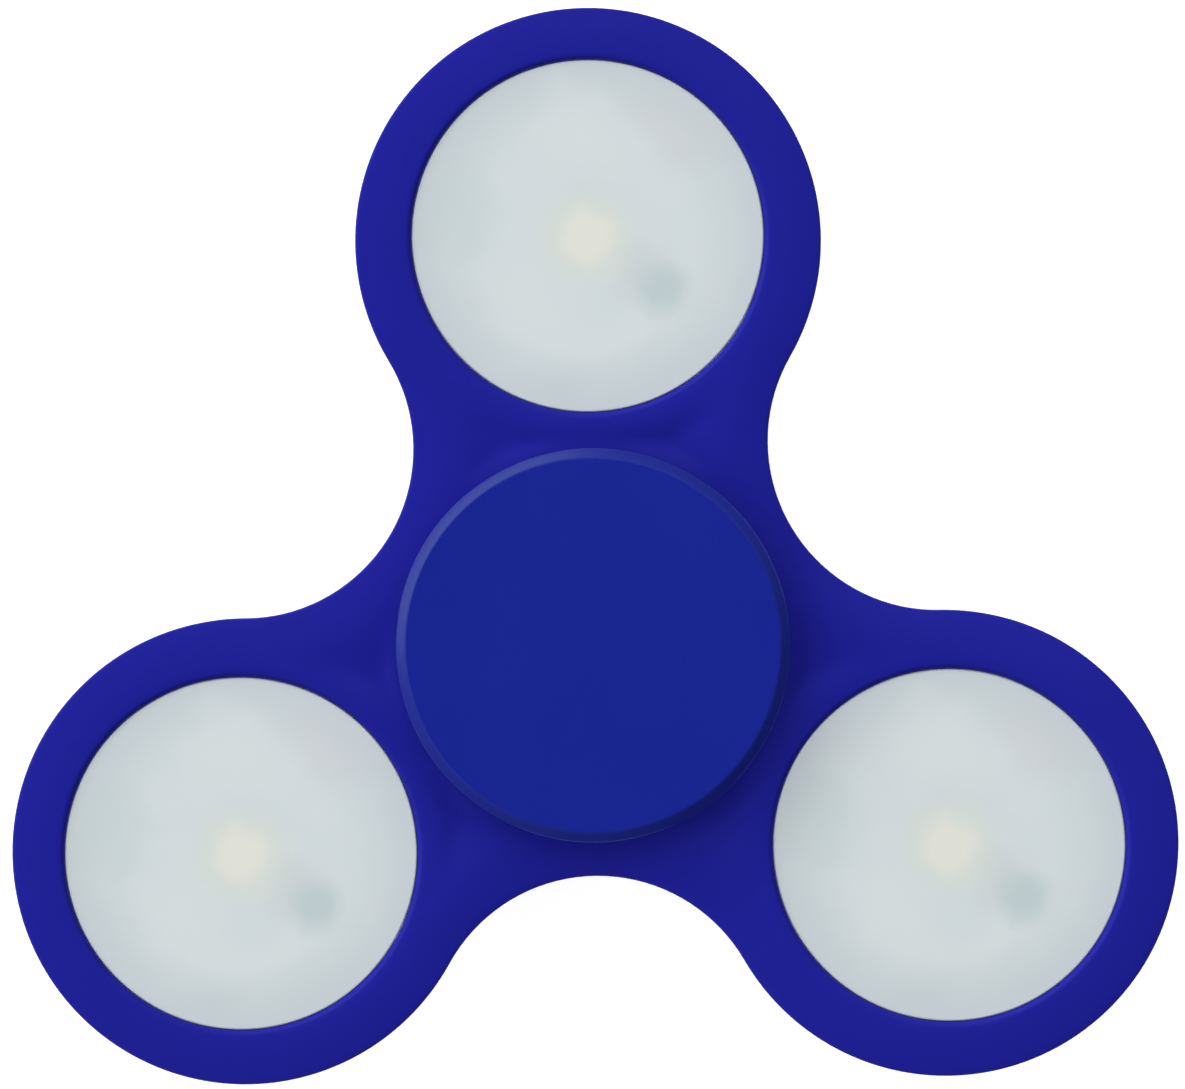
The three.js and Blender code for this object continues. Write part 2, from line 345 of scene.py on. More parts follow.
def frosted_lens():
    """Milky diffuser. The LED shows as a warm spot with a halo, and the chip as a dull smudge."""
    nodes = Nodes("frosted_lens")
    nodes.set(roughness=0.5, specular_ior_level=0.25)
    milky = (0.545, 0.600, 0.614)
    rim = (0.478, 0.532, 0.553)
    pale = (0.580, 0.628, 0.640)
    teal = (0.470, 0.552, 0.562)
    grey = (0.492, 0.532, 0.550)
    rosy = (0.530, 0.552, 0.580)
    straw = (0.572, 0.622, 0.575)
    warm = (0.650, 0.655, 0.592)
    dull = (0.435, 0.518, 0.530)
    loose = nodes.warped(160, 3 * MM)
    tight = nodes.warped(600, 0.6 * MM)
    cloud = nodes.spread(nodes.noise(190, 3), 0.35, 0.7, 0, 0.55, smooth=True)
    colour = nodes.mix(cloud, milky, pale)
    ragged = nodes.radius(place=nodes.warped(160, 1 * MM))
    edge = nodes.spread(ragged, 6.2 * MM, 11.4 * MM, 0, 0.9, smooth=True)
    colour = nodes.mix(edge, colour, rim)
    # Soft blotches: place and reach in millimetres, colour, strength.
    patches = (
        ((-0.5, 6.4), 4.4, pale, 0.75),
        ((-4.4, -4.2), 4.2, pale, 0.6),
        ((2.4, -6.4), 3.0, pale, 0.5),
        ((-8.4, 1.8), 4.0, teal, 0.55),
        ((-1.4, -9.4), 3.4, rim, 0.6),
        ((6.0, 7.4), 3.6, rosy, 0.5),
        ((3.0, -1.9), 2.6, grey, 0.6),
    )
    for (x, y), reach, tint, strength in patches:
        distance = nodes.radius((x * MM, y * MM), loose)
        share = nodes.spread(distance, 0, reach * MM, strength, 0, smooth=True)
        colour = nodes.mix(share, colour, tint)
    lamp = nodes.radius(place=tight)
    halo = nodes.spread(lamp, 1.8 * MM, 4.0 * MM, 0.75, 0, smooth=True)
    spot = nodes.spread(lamp, 1.0 * MM, 2.4 * MM, 0.95, 0, smooth=True)
    colour = nodes.mix(spot, nodes.mix(halo, colour, straw), warm)
    smudge = nodes.spread(nodes.radius(CHIP_OFFSET, tight), 0.6 * MM, 2.3 * MM, 0.95, 0, smooth=True)
    grain = nodes.bump(nodes.noise(5000, 3), 0.003 * MM)
    nodes.feed(base_color=nodes.mix(smudge, colour, dull), normal=grain)
    return nodes.material


def board_laminate():
    """White solder resist with copper rings under the LED and round the edge."""
    nodes = Nodes("board_laminate")
    nodes.set(roughness=0.42)
    resist = nodes.mix(nodes.noise(900, 3), (0.66, 0.72, 0.69), (0.74, 0.78, 0.75))
    radius = nodes.radius()
    wave = nodes.add("ShaderNodeMath", operation="PINGPONG")
    nodes.link(radius, wave.inputs[0])
    wave.inputs[1].default_value = 1.6 * MM
    track = nodes.spread(wave.outputs[0], 0.15 * MM, 0.25 * MM, 1, 0)
    copper = (0.50, 0.33, 0.17)
    nodes.feed(base_color=nodes.mix(track, resist, copper), normal=nodes.bump(track, 0.03 * MM))
    return nodes.material


def potting_resin():
    """Black epoxy with a slightly uneven skin."""
    nodes = Nodes("potting_resin")
    nodes.set(roughness=0.32)
    shade = nodes.mix(nodes.noise(1500, 4), (0.008, 0.014, 0.015), (0.02, 0.03, 0.03))
    nodes.feed(base_color=shade, normal=nodes.bump(nodes.noise(2500, 3), 0.02 * MM))
    return nodes.material


def phosphor_resin():
    """Clear resin over a yellow phosphor disc."""
    nodes = Nodes("phosphor_resin")
    nodes.set(roughness=0.12, subsurface_weight=0.15, subsurface_scale=0.5 * MM)
    glow = nodes.spread(nodes.radius(), 0.9 * MM, 1.5 * MM, 1, 0, smooth=True)
    speck = nodes.mix(nodes.noise(3500, 3), (0.85, 0.66, 0.22), (0.92, 0.78, 0.36))
    nodes.feed(base_color=nodes.mix(glow, (0.86, 0.84, 0.74), speck))
    return nodes.material


BLUE = (0.0108, 0.0120, 0.262)
CAP_BLUE = (0.0074, 0.0150, 0.247)
# The cap's rim: glossier, and darkened to 0.86 of its colour as painted shade on the chamfer.
CAP_RIM_GLOSS_AND_PAINTED_SHADE = (CAP_RADIUS - 0.75 * MM, 0.86, 0.25)
COVER_WHITE = (0.60, 0.64, 0.645)

frame_plastic = moulded_plastic("frame_plastic", BLUE, 0.36, 0.12, tint=(0.5, 0.5, 1))
cap_plastic = moulded_plastic("cap_plastic", CAP_BLUE, 0.27, 0.11, tint=(0.8, 1, 1), rim=CAP_RIM_GLOSS_AND_PAINTED_SHADE)
button_plastic = moulded_plastic("button_plastic", BLUE, 0.42, 0.3)
cover_plastic = moulded_plastic("cover_plastic", COVER_WHITE, 0.45, 0.4)
lens_plastic = frosted_lens()
ground_steel = turned_steel("ground_steel", (0.66, 0.67, 0.69), 0.18)
sheet_steel = turned_steel("sheet_steel", (0.56, 0.57, 0.58), 0.34, groove=0.004 * MM)
nickel_can = turned_steel("nickel_can", (0.62, 0.60, 0.57), 0.26)
laminate = board_laminate()
resin = potting_resin()
phosphor = phosphor_resin()


# ---- Spinner frame ----

SHOULDER = 2.8 * MM  # width of the crowned band along the outline, in front
CROWN = 0.2 * MM  # how far that band falls
REAR_SHOULDER = 1.9 * MM
REAR_CROWN = 0.1 * MM
EDGE = 0.16 * MM  # rounding of the outline's edges
SEAM_WIDTH = 0.12 * MM
SEAM_DEPTH = 0.05 * MM
LIP = 0.4 * MM  # rounding of the front pod holes
DISH = 0.22 * MM  # depth of the hollows between the hub, the pods and the necks
EDGE_EASE = 3.4 * MM
POD_LAND = 0.8 * MM
POD_EASE = 1.7 * MM
HUB_EASE = 1.2 * MM
POD_HOLE = 11.3 * MM
POD_COUNTERBORE = 12.1 * MM
COUNTERBORE_TOP = 3.9 * MM
BEARING_SEAT = 11.05 * MM
SEAT_CHAMFER = 0.35 * MM
REAR_CHAMFER = 0.2 * MM
LOBE_STEPS = 112
NECK_STEPS = 36
HOLE_STEPS = 144
CROWN_STEPS = 8
EDGE_STEPS = 6
LIP_STEPS = 5
GRID = 0.45 * MM  # mesh size of the front and rear faces


def outline_arcs():
    """The outline as arcs, anticlockwise round the frame.

    Each has its centre, 1 for a lobe or -1 for a neck, its radius, start, sweep and steps.
    """
    arcs = []
    for i, lobe in enumerate(LOBE_CENTRES):
        before, after = NECK_CENTRES[i - 1], NECK_CENTRES[i]
        following = LOBE_CENTRES[(i + 1) % LOBES]
        start = math.atan2(*(before - lobe).yx)
        sweep = (math.atan2(*(after - lobe).yx) - start) % math.tau
        arcs.append((lobe, 1, LOBE_RADIUS, start, sweep, LOBE_STEPS))
        start = math.atan2(*(lobe - after).yx)
        sweep = (math.atan2(*(following - after).yx) - start) % math.tau - math.tau
        arcs.append((after, -1, NECK_RADIUS, start, sweep, NECK_STEPS))
    return arcs


OUTLINE = outline_arcs()


def outline_loop(inset):
    """Points of the outline, moved inwards by inset."""
    points = []
    for centre, side, radius, start, sweep, steps in OUTLINE:
        for k in range(steps):
            angle = start + sweep * k / steps
            reach = radius - side * inset
            points.append((centre.x + reach * math.cos(angle), centre.y + reach * math.sin(angle)))
    return points


def circle_loop(centre, radius):
    angles = [math.tau * k / HOLE_STEPS for k in range(HOLE_STEPS)]
    return [(centre.x + radius * math.cos(a), centre.y + radius * math.sin(a)) for a in angles]


def inset_of(point):
    """How far a point lies inside the outline."""
    nearest = math.inf
    for centre, side, radius, start, sweep, _ in OUTLINE:
        spoke = point - centre
        turn = (math.atan2(spoke.y, spoke.x) - start) % math.tau
        if sweep < 0:
            turn = (-turn) % math.tau
        if turn <= abs(sweep):
            nearest = min(nearest, side * (radius - spoke.length))
    return nearest


def ease(value, span):
    """Rises smoothly from 0 to 1 over a span."""
    t = min(1, max(0, value / span))
    return t * t * (3 - 2 * t)


def clearances(point, shoulder, hole_radius, hub_radius):
    """How far a point is clear of the shoulder, of the nearest pod hole and of the hub hole."""
    pods = min((point - pod.xy).length for pod in POD_CENTRES) - hole_radius
    return inset_of(point) - shoulder, pods, point.length - hub_radius


def shoulder_profile(shoulder, crown):
    """The gentle crown beside the outline and its small rounded edge, as (inset, drop)."""
    slope = math.atan(2 * crown / shoulder)
    inner = EDGE * (1 - math.sin(slope))
    points = []
    for k in range(CROWN_STEPS):
        inset = shoulder + (inner - shoulder) * k / CROWN_STEPS
        points.append((inset, crown * (1 - inset / shoulder) ** 2))
    start = crown * (1 - inner / shoulder) ** 2
    for k in range(EDGE_STEPS + 1):
        turn = slope + (math.pi / 2 - slope) * k / EDGE_STEPS
        drop = start + EDGE * (math.cos(slope) - math.cos(turn))
        points.append((EDGE * (1 - math.sin(turn)), drop))
    return points


def dish_depth(point):
    """The shallow hollow in each corner between the hub, a pod and the neck's edge."""
    edge, pod, _ = clearances(point, SHOULDER, POD_HOLE + LIP, 0)
    hub = point.length - CAP_RADIUS
    return DISH * ease(edge, EDGE_EASE) * ease(pod - POD_LAND, POD_EASE) * ease(hub, HUB_EASE)


def face_triangles(outer, holes, margins):
    """Fills a flat face between its outline and its holes with a fine even mesh.

    The margins are the shoulder's width and the radii of the pod holes and of the hub hole.
    """
    points = [Vector(p) for loop in [outer, *holes] for p in loop]
    edges, offset = [], 0
    for loop in [outer, *holes]:
        edges += [(offset + k, offset + (k + 1) % len(loop)) for k in range(len(loop))]
        offset += len(loop)
    row_height = GRID * math.sqrt(3) / 2
    rows = int((FRAME_HIGH.y - FRAME_LOW.y) / row_height)
    columns = int((FRAME_HIGH.x - FRAME_LOW.x) / GRID)
    for row in range(rows):
        for column in range(columns):
            x = FRAME_LOW.x + GRID * (column + 0.5 * (row % 2))
            point = Vector((x, FRAME_LOW.y + row_height * row))
            if min(clearances(point, *margins)) > 0.6 * GRID:
                points.append(point)
    made = delaunay_2d_cdt([p / MM for p in points], edges, [], 0, 1e-6)
    verts, faces = [v * MM for v in made[0]], made[2]
    kept = []
    for face in faces:
        middle = sum((verts[i] for i in face), Vector((0, 0))) / 3
        if min(clearances(middle, *margins)) > 0:
            kept.append(face)
    return verts, kept, made[3]


def make_frame():
    work = bmesh.new()

    def loop_at(points, z):
        return [work.verts.new((x, y, z)) for x, y in points]

    def strip(first, second):
        count = len(first)
        for i in range(count):
            j = (i + 1) % count
            work.faces.new((first[i], first[j], second[j], second[i]))

    def strips(loops):
        for first, second in zip(loops, loops[1:]):
            strip(first, second)

    def face(z, inward, loops, margins):
        """A front or rear face between loops that exist already, dished towards the frame's middle."""
        flat = [[(v.co.x, v.co.y) for v in loop] for loop in loops]
        verts, faces, origins = face_triangles(flat[0], flat[1:], margins)
        known = [v for loop in loops for v in loop]
        made = []
        for place, origin in zip(verts, origins):
            if origin and origin[0] < len(known):
                made.append(known[origin[0]])
            else:
                made.append(work.verts.new((place.x, place.y, z + inward * dish_depth(place))))
        for corners in faces:
            work.faces.new([made[i] for i in corners])

    top, bottom = FRAME_HIGH.z, FRAME_LOW.z
    middle = (top + bottom) / 2
    rear_profile = shoulder_profile(REAR_SHOULDER, REAR_CROWN)
    rear = [loop_at(outline_loop(inset), bottom + drop) for inset, drop in rear_profile]
    front_profile = shoulder_profile(SHOULDER, CROWN)
    front = [loop_at(outline_loop(inset), top - drop) for inset, drop in front_profile]
    seam_profile = (
        (0, -SEAM_WIDTH),
        (SEAM_DEPTH, -SEAM_WIDTH / 3),
        (SEAM_DEPTH, SEAM_WIDTH / 3),
        (0, SEAM_WIDTH),
    )
    seam = [loop_at(outline_loop(inset), middle + offset) for inset, offset in seam_profile]
    strips(rear + seam + front[::-1])

    front_holes, rear_holes = [], []
    turns = [math.pi / 2 * k / LIP_STEPS for k in range(LIP_STEPS + 1)]
    for pod in POD_CENTRES:
        lip = []
        for turn in turns:
            points = circle_loop(pod, POD_HOLE + LIP * (1 - math.sin(turn)))
            lip.append(loop_at(points, top - LIP * (1 - math.cos(turn))))
        wall = [
            loop_at(circle_loop(pod, POD_HOLE), COUNTERBORE_TOP),
            loop_at(circle_loop(pod, POD_COUNTERBORE), COUNTERBORE_TOP),
            loop_at(circle_loop(pod, POD_COUNTERBORE), bottom + REAR_CHAMFER),
            loop_at(circle_loop(pod, POD_COUNTERBORE + REAR_CHAMFER), bottom),
        ]
        strips(lip + wall)
        front_holes.append(lip[0])
        rear_holes.append(wall[-1])
    hub = Vector((0, 0))
    seat = [
        loop_at(circle_loop(hub, BEARING_SEAT + SEAT_CHAMFER), top),
        loop_at(circle_loop(hub, BEARING_SEAT), top - SEAT_CHAMFER),
        loop_at(circle_loop(hub, BEARING_SEAT), bottom + SEAT_CHAMFER),
        loop_at(circle_loop(hub, BEARING_SEAT + SEAT_CHAMFER), bottom),
    ]
    strips(seat)
    hub_radius = BEARING_SEAT + SEAT_CHAMFER
    face(top, -1, [front[0], *front_holes, seat[0]], (SHOULDER, POD_HOLE + LIP, hub_radius))
    rear_margins = (REAR_SHOULDER, POD_COUNTERBORE + REAR_CHAMFER, hub_radius)
    face(bottom, 1, [rear[0], *rear_holes, seat[-1]], rear_margins)
    bmesh.ops.recalc_face_normals(work, faces=work.faces)
    shell = finish_mesh(new_object("frame_shell", mesh_from(work, "frame_shell")), 50)
    dress(shell, frame_plastic, "spinner", "blue_plastic", "spinner_frame")


# ---- Finger caps ----

CAP_CHAMFER_WIDTH = 0.62
CAP_CHAMFER_DEPTH = 0.42
CAP_THICKNESS = 2.4
CAP_STEM_RADIUS = 3.9
CAP_HOLLOW_RADIUS = 2.4


def make_cap(name, node, flipped):
    """A flat disc with a shallow chamfer, a shoulder on the bearing and a hollow stem."""
    radius = CAP_RADIUS / MM
    corners = [
        (0, 0),
        (radius - CAP_CHAMFER_WIDTH, 0, 0.3),
        (radius, CAP_CHAMFER_DEPTH, 0.1),
        (radius, CAP_THICKNESS, 0.25),
        (6.4, CAP_THICKNESS, 0.3),
        (5.6, 2.7, 0.1),
        (5.6, 2.95),
        (CAP_STEM_RADIUS, 2.95, 0.1),
        (CAP_STEM_RADIUS, 6.4, 0.3),
        (CAP_HOLLOW_RADIUS, 6.4, 0.2),
        (CAP_HOLLOW_RADIUS, 1.8, 0.3),
        (0, 1.8),
    ]
    if flipped:
        corners = [(c[0], OVERALL_TOP / MM - c[1], *c[2:]) for c in corners]
    cap = turned(name, corners, segments=192)
    dress(cap, cap_plastic, "hub", "cap_plastic", node)


# ---- Bearing ----

BEARING_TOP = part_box("bearing_outer_ring")[1].z / MM
BEARING_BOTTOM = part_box("bearing_outer_ring")[0].z / MM
BEARING_MIDDLE = (BEARING_TOP + BEARING_BOTTOM) / 2
PITCH_RADIUS = 7.5
GROOVE_RADIUS = 2.1
GROOVE_STEPS = 12
BALL_RADIUS = radius_of("bearing_ball_1") / MM
BALLS = 7


def groove(land, sign):
    """The ball groove's arc in a ring's profile. Sign is 1 for the outer ring and -1 for the inner."""
    half = math.acos(abs(land - PITCH_RADIUS) / GROOVE_RADIUS)
    points = []
    for k in range(GROOVE_STEPS + 1):
        turn = half - 2 * half * k / GROOVE_STEPS
        reach = PITCH_RADIUS + sign * GROOVE_RADIUS * math.cos(turn)
        points.append((reach, BEARING_MIDDLE + sign * GROOVE_RADIUS * math.sin(turn)))
    return points


def make_bearing():
    low, high = BEARING_BOTTOM, BEARING_TOP
    outer = turned(
        "bearing_outer_race",
        [
            (11, low, 0.3),
            (11, high, 0.3),
            (9.6, high, 0.1),
            (9.6, high - 0.6),
            (8.95, high - 0.6, 0.1),
            *groove(8.95, 1),
            (8.95, low + 0.6, 0.1),
            (9.6, low + 0.6),
            (9.6, low, 0.1),
        ],
        closed=True,
    )
    dress(outer, ground_steel, "spinner", "bearing_steel", "bearing_outer_ring")
    inner = turned(
        "bearing_inner_race",
        [(4, low, 0.25), (6.05, low, 0.12), *groove(6.05, -1), (6.05, high, 0.12), (4, high, 0.25)],
        closed=True,
    )
    dress(inner, ground_steel, "hub", "bearing_steel", "bearing_inner_ring")
    for node, bottom, outward in (
        ("bearing_rear_shield", low + 0.25, 1),
        ("bearing_front_shield", high - 0.5, -1),
    ):
        dished = [(6.2, 0.05), (9.5, 0.05), (9.5, 0.2), (9.0, 0.2), (8.7, 0.14), (6.2, 0.14)]
        corners = [(r, bottom + (z if outward > 0 else 0.25 - z), 0.03) for r, z in dished]
        shield = turned(node.replace("shield", "dust_shield"), corners, closed=True)
        dress(shield, sheet_steel, "spinner", "pressed_steel", node)
    for k in range(BALLS):
        node = f"bearing_ball_{k + 1}"
        work = bmesh.new()
        bmesh.ops.create_icosphere(work, subdivisions=5, radius=BALL_RADIUS * MM)
        mesh = mesh_from(work, f"ball_{k + 1}")
        ball = new_object(f"ball_{k + 1}", mesh, centre_of(node))
        mesh.shade_smooth()
        dress(ball, ground_steel, f"ball_{k + 1}", "bearing_steel", node)
    make_cage()


def make_cage():
    """A crown cage: a ring above the balls whose lower side is scooped out round each one."""
    steps = BALLS * 36
    inner, outer = 6.65 * MM, 8.35 * MM
    pocket = 2.2 * MM
    top = (BEARING_MIDDLE + 2.7) * MM
    low = (BEARING_MIDDLE - 1.1) * MM
    work = bmesh.new()
    angles = [LOBE_START + math.tau * k / steps for k in range(steps)]

    def scooped(radius, angle):
        """Height of the cage's lower edge at a place, raised where it passes over a ball."""
        pitch = math.tau / BALLS
        offset = (angle - LOBE_START + pitch / 2) % pitch - pitch / 2
        across = radius * math.sin(offset)
        along = radius * math.cos(offset) - PITCH_RADIUS * MM
        rest = pocket**2 - across**2 - along**2
        return max(low, BEARING_MIDDLE * MM + math.sqrt(rest)) if rest > 0 else low

    def point(radius, angle, height):
        return work.verts.new((radius * math.cos(angle), radius * math.sin(angle), height))

    radii = [inner + (outer - inner) * k / 4 for k in range(5)]
    upper = [[point(r, a, top) for a in angles] for r in radii]
    lower = [[point(r, a, scooped(r, a)) for a in angles] for r in radii]
    loops = upper + lower[::-1]
    for first, second in zip(loops, loops[1:] + loops[:1]):
        for i in range(steps):
            j = (i + 1) % steps
            work.faces.new((first[i], first[j], second[j], second[i]))
    bmesh.ops.recalc_face_normals(work, faces=work.faces)
    cage = finish_mesh(new_object("ball_cage", mesh_from(work, "ball_cage")))
    dress(cage, sheet_steel, "cage", "pressed_steel", "bearing_cage")


# ---- Light pods ----

LENS_EXCESS = 0.07  # the lens is this much wider than in CAD, which narrows the gap round it


def make_pod(number, centre):
    """The pieces of a pod that show: its lens, its rear cover and its push-button."""
    prefix = f"pod_{number}"
    place = (centre.x, centre.y)
    lens_top = LENS_TOP / MM
    lens_radius = LENS_RADIUS / MM + LENS_EXCESS
    lens = turned(
        f"{prefix}_diffuser",
        [
            (0, lens_top - 1.05),
            (9.5, lens_top - 1.05, 0.3),
            (9.5, 7.65),
            (10.15, 7.65),
            (10.15, 3.95),
            (lens_radius, 3.95, 0.15),
            (lens_radius, lens_top, 0.12),
            (0, lens_top),
        ],
        place,
        segments=192,
    )
    dress(lens, lens_plastic, "spinner", "frosted_plastic", f"{prefix}_lens")
    cover = turned(
        f"{prefix}_back_shell",
        [
            (3.35, 1.55, 0.1),
            (4.3, 1.4, 0.1),
            (4.6, 1.62, 0.15),
            (9.6, 1.62, 0.15),
            (9.9, 1.4, 0.12),
            (11.95, 1.4, 0.5),
            (11.95, 3.85, 0.1),
            (10.05, 3.85),
            (10.05, 4.5, 0.12),
            (9.45, 4.5, 0.12),
            (9.45, 2.75),
            (4.6, 2.75, 0.1),
            (4.6, 2.2),
            (3.35, 2.2, 0.1),
        ],
        place,
        closed=True,
        segments=180,
    )
    dress(cover, cover_plastic, "spinner", "white_plastic", f"{prefix}_rear_cover")
    button = turned(
        f"{prefix}_push_button",
        [
            (0, 0.98),
            (1.3, 0.93, 2),
            (2.5, 0.8, 0.5),
            (3.2, 0.8, 0.3),
            (3.2, 2.25),
            (4.3, 2.25, 0.08),
            (4.3, 2.65, 0.08),
            (0.95, 2.65, 0.2),
            (0.95, 6.3, 0.2),
            (0, 6.3),
        ],
        place,
        segments=96,
    )
    dress(button, button_plastic, f"button_{number}", "button_plastic", f"{prefix}_button")


def heights(node):
    """A node's lowest and highest place, in millimetres."""
    low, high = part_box(node)
    return low.z / MM, high.z / MM


def make_board(prefix, centre):
    low, high = heights(f"{prefix}_circuit_board")
    radius = radius_of(f"{prefix}_circuit_board") / MM
    corners = [(0, low), (radius, low, 0.06), (radius, high, 0.06), (0, high)]
    board = turned(f"{prefix}_printed_board", corners, centre, segments=160)
    dress(board, laminate, "spinner", "board_laminate", f"{prefix}_circuit_board")


def make_led(prefix):
    node = f"{prefix}_led"
    low, high = heights(node)
    radius = radius_of(node) / MM
    rim = low + 0.4
    corners = [
        (0, low),
        (radius, low),
        (radius, rim, 0.08),
        (radius - 0.25, rim, 0.1),
        (radius - 0.45, high - 0.2, 0.25),
        (radius - 0.9, high, 0.3),
        (0, high),
    ]
    led = turned(f"{prefix}_lamp", corners, centre_of(node), segments=96)
    dress(led, phosphor, "spinner", "led_resin", node)


def make_chip(prefix):
    """A drop of resin: a low dome with a thin skirt, a little out of round."""
    node = f"{prefix}_chip"
    low, high = heights(node)
    radius = radius_of(node) / MM
    height = high - low
    dome = [(0, 0), (1, 0), (0.97, 0.12), (0.86, 0.45), (0.66, 0.76), (0.4, 0.94), (0.18, 0.99), (0, 1)]
    corners = [(radius * r, low + height * z, 0.25) for r, z in dome]
    drop = turned(f"{prefix}_resin_drop", corners, centre_of(node), segments=96)
    for vertex in drop.data.vertices:
        turn = math.atan2(vertex.co.y, vertex.co.x)
        shrink = 0.965 + 0.02 * math.cos(2 * turn) + 0.015 * math.cos(3 * turn + 1)
        vertex.co.x *= shrink
        vertex.co.y *= shrink
    dress(drop, resin, "spinner", "chip_resin", node)


def make_cell(prefix, number):
    """A button cell: the can crimped over a seal, and the raised cap of the other pole."""
    node = f"{prefix}_cell_{number}"
    low, high = heights(node)
    radius = radius_of(node) / MM
    corners = [
        (0, low),
        (radius, low, 0.3),
        (radius, high - 0.55, 0.35),
        (radius - 0.35, high - 0.3, 0.1),
        (radius - 0.5, high - 0.42, 0.06),
        (radius - 0.72, high - 0.42, 0.06),
        (radius - 0.85, high, 0.2),
        (0, high),
    ]
    cell = turned(f"{prefix}_button_cell_{number}", corners, centre_of(node), segments=96)
    dress(cell, nickel_can, "spinner", "cell_steel", node)


def make_dome(prefix):
    """The switch's snap dome. On the real switch it flattens against the board as the button is
    pressed; here it keeps its rest shape.
    """
    node = f"{prefix}_switch_dome"
    low, high = heights(node)
    wide = radius_of(node) / MM
    height = high - low
    sheet = 0.1
    corners = [
        (0, low),
        (0.35 * wide, low, 0.3),
        (0.72 * wide, low + 0.3 * height, 0.3),
        (wide, high),
        (wide - 0.2, high),
        (0.6 * wide, low + 0.3 * height + sheet, 0.3),
        (0.3 * wide, low + sheet, 0.2),
        (0, low + sheet),
    ]
    place = centre_of(node)
    dome = turned(f"{prefix}_snap_dome", corners, place, segments=72)
    dress(dome, sheet_steel, "spinner", "pressed_steel", node)
    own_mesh(dome)


def make_light_unit(number, centre):
    """What a pod holds. Its contact plate is the CAD model's own, with a better material."""
    prefix = f"pod_{number}"
    make_board(prefix, centre)
    make_led(prefix)
    make_chip(prefix)
    for k in range(CELLS):
        make_cell(prefix, k + 1)
    make_dome(prefix)
    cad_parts[f"{prefix}_contact_plate"].data.materials[0] = sheet_steel


make_frame()
make_cap("front_finger_cap", "front_cap", True)
make_cap("rear_finger_cap", "rear_cap", False)
make_bearing()
for n, pod_centre in enumerate(POD_CENTRES):
    make_pod(n + 1, pod_centre)
    make_light_unit(n + 1, pod_centre)


# ---- Stage: floor, light and camera ----

KEY_AZIMUTH = 138
KEY_ELEVATION = 26
KEY_DISTANCE = 2.2
KEY_WIDTH = 3.8
KEY_HEIGHT = 0.7
KEY_POWER = 20
FILL_POWER = 55
SKY = 1.15
SKY_HORIZON = 0.3
SKY_OVERHEAD = 0.12
SKY_LEAN = 0.9  # how much brighter the sky is on the key light's side
FLOOR_HALF = 6
FLOOR_DROP = 0.02 * MM  # keeps the floor clear of the rear cap's face


def pale_floor():
    """Pure white to the camera: pale paper that glows a little, which thins the shadows."""
    nodes = Nodes("pale_floor")
    nodes.set(roughness=0.9, emission_color=(1, 1, 1, 1), emission_strength=0.58)
    nodes.feed(base_color=nodes.mix(nodes.noise(40, 3), (0.80, 0.80, 0.80), (0.83, 0.83, 0.83)))
    return nodes.material


def make_floor():
    mesh = bpy.data.meshes.new("floor")
    signs = ((-1, -1), (1, -1), (1, 1), (-1, 1))
    corners = [(x * FLOOR_HALF, y * FLOOR_HALF, -FLOOR_DROP) for x, y in signs]
    mesh.from_pydata(corners, [], [(0, 1, 2, 3)])
    floor = new_object("floor", mesh)
    mesh.materials.append(pale_floor())


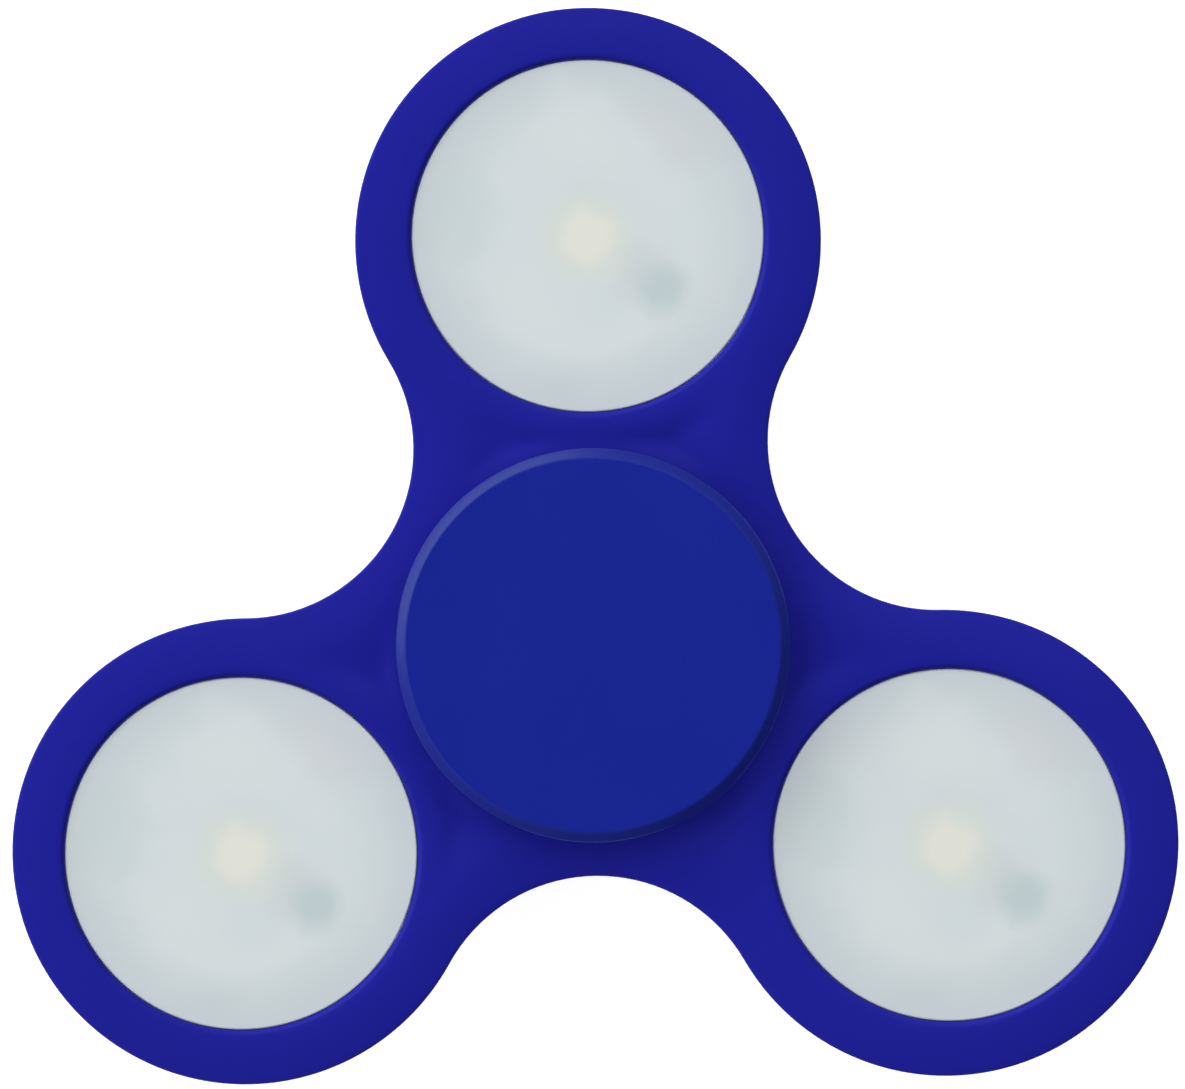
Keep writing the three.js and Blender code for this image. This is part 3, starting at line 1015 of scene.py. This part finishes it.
def make_sky():
    """A white studio: brightest halfway up and on the key light's side, dark straight overhead."""
    world = bpy.data.worlds.new("studio")
    bpy.context.scene.world = world
    world.use_nodes = True
    tree = world.node_tree
    background = tree.nodes["Background"]
    place = tree.nodes.new("ShaderNodeTexCoord")
    split = tree.nodes.new("ShaderNodeSeparateXYZ")
    tree.links.new(place.outputs["Generated"], split.inputs[0])

    def fade(low, high, to_low, to_high):
        node = tree.nodes.new("ShaderNodeMapRange")
        node.interpolation_type = "SMOOTHSTEP"
        for key, value in zip(RANGE_INPUTS, (low, high, to_low, to_high)):
            node.inputs[key].default_value = value
        tree.links.new(split.outputs["Z"], node.inputs["Value"])
        return node.outputs["Result"]

    def times(first, second):
        node = tree.nodes.new("ShaderNodeMath")
        node.operation = "MULTIPLY"
        tree.links.new(first, node.inputs[0])
        tree.links.new(second, node.inputs[1])
        return node.outputs[0]

    azimuth = math.radians(KEY_AZIMUTH)
    lean = tree.nodes.new("ShaderNodeVectorMath")
    lean.operation = "DOT_PRODUCT"
    lean.inputs[1].default_value = (SKY_LEAN * math.cos(azimuth), SKY_LEAN * math.sin(azimuth), 0)
    tree.links.new(place.outputs["Generated"], lean.inputs[0])
    sided = tree.nodes.new("ShaderNodeMath")
    sided.operation = "ADD"
    sided.inputs[1].default_value = 1
    tree.links.new(lean.outputs["Value"], sided.inputs[0])
    band = times(fade(0.35, 0.72, SKY_HORIZON, SKY), fade(0.78, 0.95, 1, SKY_OVERHEAD))
    tree.links.new(times(band, sided.outputs[0]), background.inputs["Strength"])
    background.inputs["Color"].default_value = (1, 1, 1, 1)


def area_light(name, azimuth, elevation, distance, width, height, power, shadows=True):
    """A soft box aimed at the hub. Azimuth is anticlockwise from +X. Both angles are in degrees."""
    data = bpy.data.lights.new(name, "AREA")
    data.use_shadow = shadows
    data.shape = "RECTANGLE"
    data.size = width
    data.size_y = height
    data.energy = power
    light = bpy.data.objects.new(name, data)
    a, e = math.radians(azimuth), math.radians(elevation)
    away = Vector((math.cos(a) * math.cos(e), math.sin(a) * math.cos(e), math.sin(e)))
    light.location = away * distance
    light.rotation_mode = "QUATERNION"
    light.rotation_quaternion = away.to_track_quat("Z", "Y")
    bpy.context.scene.collection.objects.link(light)


VIEW_WIDTH = 75.9 * MM  # at the height VIEW_HEIGHT
VIEW_CENTRE = Vector((-0.03, 6.44)) * MM
VIEW_HEIGHT = 10 * MM
CAMERA_DISTANCE = 1.2
CAMERA_ROLL = math.radians(-0.7)


def make_camera():
    """Straight down over the middle of the picture, with a long lens."""
    data = bpy.data.cameras.new("camera")
    data.sensor_width = 36
    data.lens = data.sensor_width * CAMERA_DISTANCE / VIEW_WIDTH
    camera = bpy.data.objects.new("camera", data)
    place = Vector((VIEW_CENTRE.x, VIEW_CENTRE.y))
    place.rotate(Matrix.Rotation(CAMERA_ROLL, 2))
    camera.location = (place.x, place.y, VIEW_HEIGHT + CAMERA_DISTANCE)
    camera.rotation_euler = (0, 0, CAMERA_ROLL)
    bpy.context.scene.collection.objects.link(camera)
    bpy.context.scene.camera = camera


make_floor()
make_sky()
key_place = (KEY_AZIMUTH, KEY_ELEVATION, KEY_DISTANCE, KEY_WIDTH, KEY_HEIGHT)
area_light("key", *key_place, KEY_POWER)
area_light("key_fill", *key_place, FILL_POWER, shadows=False)
area_light("glint", azimuth=75, elevation=74, distance=1.2, width=0.05, height=0.05, power=0.6)
make_camera()
bpy.context.scene.view_settings.view_transform = "Standard"
